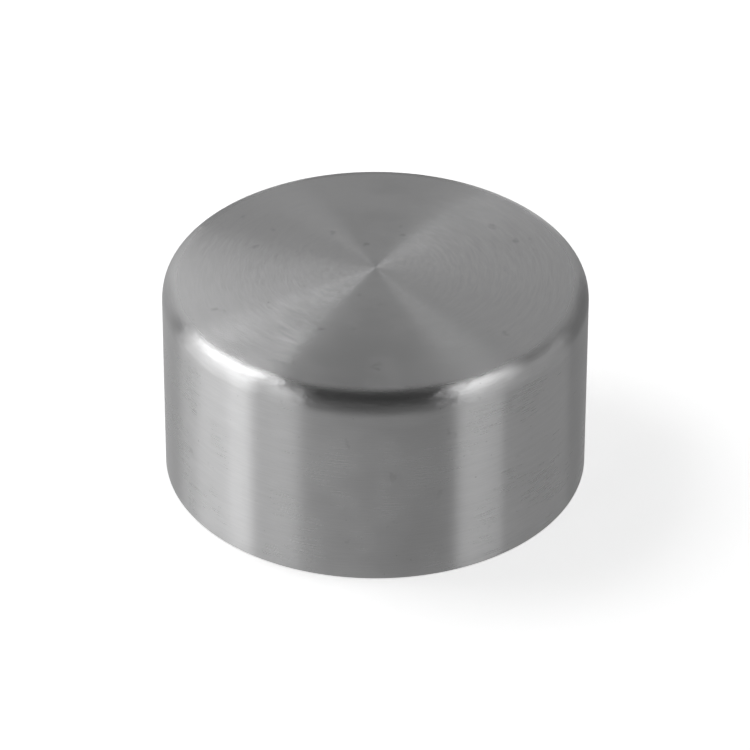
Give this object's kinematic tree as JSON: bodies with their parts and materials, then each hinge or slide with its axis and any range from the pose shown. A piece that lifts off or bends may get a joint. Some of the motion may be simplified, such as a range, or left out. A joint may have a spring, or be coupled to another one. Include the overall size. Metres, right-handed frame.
{
  "type": "pipe cap",
  "caption": "Smooth round hand-tight end cap with an internal pipe thread, a brushed cover and a captive sealing disc.",
  "frame": {"origin": "centre of the open rim's plane, on the axis of the thread", "axes": "+Z along the thread axis, from the open rim to the closed crown; X and Y are any two directions across the cap"},
  "size_m": [0.05, 0.05, 0.0268],
  "materials": {
    "cover": "satin stainless steel, brushed round the wall and in rings on the crown",
    "core": "turned brass, fine tool marks",
    "slip": "white PTFE, skived, waxy",
    "seal": "moulded black EPDM, matte"
  },
  "bodies": {
    "cap": {"cover_shell": "cover", "threaded_core": "core"},
    "slip": {"slip_disc": "slip"},
    "seal": {"sealing_disc": "seal"}
  },
  "joints": [
    {"name": "slip_disc_turn", "type": "hinge", "parent": "cap", "child": "slip", "pos_m": [0, 0, 0.0206], "axis": [0, 0, 1], "continuous": true},
    {"name": "sealing_disc_turn", "type": "hinge", "parent": "cap", "child": "seal", "pos_m": [0, 0, 0.0185], "axis": [0, 0, 1], "continuous": true}
  ]
}
